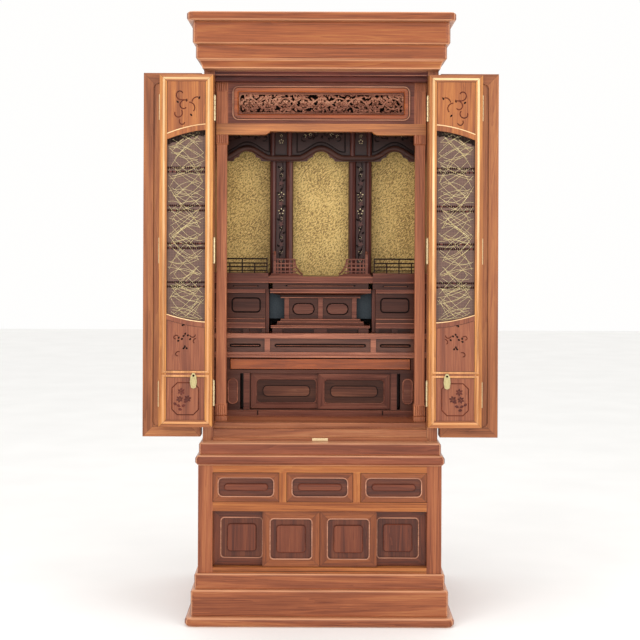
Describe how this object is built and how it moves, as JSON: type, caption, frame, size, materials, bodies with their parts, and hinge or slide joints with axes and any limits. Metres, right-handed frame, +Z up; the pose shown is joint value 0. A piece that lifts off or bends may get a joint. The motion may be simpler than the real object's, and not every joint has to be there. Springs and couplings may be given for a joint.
{
  "type": "household altar cabinet",
  "caption": "Tall wooden household altar cabinet with folding lattice doors, an inner altar, drawers and a base.",
  "frame": {"origin": "middle of the underside of the base plate", "axes": "+Z up, the front faces -Y, +X to the right as seen from the front"},
  "size_m": [0.942, 0.59, 1.595],
  "materials": {
    "case_wood": "satin lacquer",
    "door_wood": "satin lacquer",
    "drawer_wood": "satin lacquer",
    "inner_wood": "satin lacquer",
    "dark_wood": "satin lacquer",
    "carved_wood": "satin lacquer",
    "gauze": "woven gauze",
    "gold_cloth": "woven brocade",
    "brass": "satin"
  },
  "bodies": {
    "root": {"base_plate": "case_wood", "plinth_block": "case_wood", "plinth_step": "case_wood", "lower_frame": "case_wood", "lower_side_right": "case_wood", "lower_side_left": "case_wood", "lower_back": "case_wood", "waist_slab": "case_wood", "waist_block": "case_wood", "case_side_right": "case_wood", "case_side_left": "case_wood", "case_back": "case_wood", "sill_and_floor": "inner_wood", "head_and_ceiling": "inner_wood", "cornice_cove": "case_wood", "cornice_step": "case_wood", "cornice_frieze": "case_wood", "top_plate": "case_wood", "outer_lead_leaf_right": "door_wood", "outer_lead_leaf_left": "door_wood", "outer_side_leaf_right": "door_wood", "outer_side_leaf_left": "door_wood", "lintel": "case_wood", "transom": "case_wood", "transom_carving": "carved_wood", "front_post_right": "case_wood", "front_post_left": "case_wood", "inner_base": "inner_wood", "step_shelf": "inner_wood", "altar_base": "inner_wood", "altar_waist": "inner_wood", "altar_top": "inner_wood", "side_shelf_right": "inner_wood", "side_shelf_left": "inner_wood", "side_railing_right": "dark_wood", "side_railing_left": "dark_wood", "altar_railing_right": "inner_wood", "altar_railing_left": "inner_wood", "gold_board": "gold_cloth", "pillar_right": "dark_wood", "pillar_left": "dark_wood", "arched_valance": "dark_wood"},
    "side_leaf_right": {"side_leaf_right": "door_wood", "side_leaf_gauze_right": "gauze"},
    "lead_leaf_right": {"lead_leaf_right": "door_wood", "lead_leaf_gauze_right": "gauze"},
    "side_leaf_left": {"side_leaf_left": "door_wood", "side_leaf_gauze_left": "gauze"},
    "lead_leaf_left": {"lead_leaf_left": "door_wood", "lead_leaf_gauze_left": "gauze"},
    "drawer_left": {"drawer_left": "drawer_wood"},
    "drawer_middle": {"drawer_middle": "drawer_wood"},
    "drawer_right": {"drawer_right": "drawer_wood"},
    "sliding_door_inner_right": {"sliding_door_inner_right": "drawer_wood"},
    "sliding_door_outer_right": {"sliding_door_outer_right": "drawer_wood"},
    "sliding_door_inner_left": {"sliding_door_inner_left": "drawer_wood"},
    "sliding_door_outer_left": {"sliding_door_outer_left": "drawer_wood"},
    "inner_door_right": {"inner_door_right": "inner_wood"},
    "inner_door_left": {"inner_door_left": "inner_wood"},
    "pull_out_tray": {"pull_out_tray": "door_wood"}
  },
  "joints": [
    {"name": "right_door_close", "type": "hinge", "parent": "root", "child": "side_leaf_right", "pos_m": [0.283, -0.206, 0.972], "axis": [0, 0, -1], "range_deg": [0, 180]},
    {"name": "right_door_fold", "type": "hinge", "parent": "side_leaf_right", "child": "lead_leaf_right", "pos_m": [0.42438, -0.22725, 0.972], "axis": [0, 0, -1], "range_deg": [-180, 0]},
    {"name": "left_door_close", "type": "hinge", "parent": "root", "child": "side_leaf_left", "pos_m": [-0.283, -0.206, 0.972], "axis": [0, 0, 1], "range_deg": [0, 180]},
    {"name": "left_door_fold", "type": "hinge", "parent": "side_leaf_left", "child": "lead_leaf_left", "pos_m": [-0.42438, -0.22725, 0.972], "axis": [0, 0, 1], "range_deg": [-180, 0]},
    {"name": "drawer_left_push", "type": "slide", "parent": "root", "child": "drawer_left", "axis": [0, 1, 0], "range_m": [-0.28, 0]},
    {"name": "drawer_middle_push", "type": "slide", "parent": "root", "child": "drawer_middle", "axis": [0, 1, 0], "range_m": [-0.28, 0]},
    {"name": "drawer_right_push", "type": "slide", "parent": "root", "child": "drawer_right", "axis": [0, 1, 0], "range_m": [-0.28, 0]},
    {"name": "sliding_door_inner_right_slide", "type": "slide", "parent": "root", "child": "sliding_door_inner_right", "axis": [1, 0, 0], "range_m": [0, 0.129]},
    {"name": "sliding_door_outer_right_slide", "type": "slide", "parent": "root", "child": "sliding_door_outer_right", "axis": [1, 0, 0], "range_m": [-0.129, 0]},
    {"name": "sliding_door_inner_left_slide", "type": "slide", "parent": "root", "child": "sliding_door_inner_left", "axis": [-1, 0, 0], "range_m": [0, 0.129]},
    {"name": "sliding_door_outer_left_slide", "type": "slide", "parent": "root", "child": "sliding_door_outer_left", "axis": [-1, 0, 0], "range_m": [-0.129, 0]},
    {"name": "inner_door_right_slide", "type": "slide", "parent": "root", "child": "inner_door_right", "axis": [-1, 0, 0], "range_m": [0, 0.18]},
    {"name": "inner_door_left_slide", "type": "slide", "parent": "root", "child": "inner_door_left", "axis": [1, 0, 0], "range_m": [0, 0.18]},
    {"name": "tray_push", "type": "slide", "parent": "root", "child": "pull_out_tray", "axis": [0, 1, 0], "range_m": [-0.11, 0]}
  ],
  "couplings": [
    {"joint": "right_door_fold", "follows": "right_door_close", "ratio": -1},
    {"joint": "left_door_fold", "follows": "left_door_close", "ratio": -1}
  ]
}
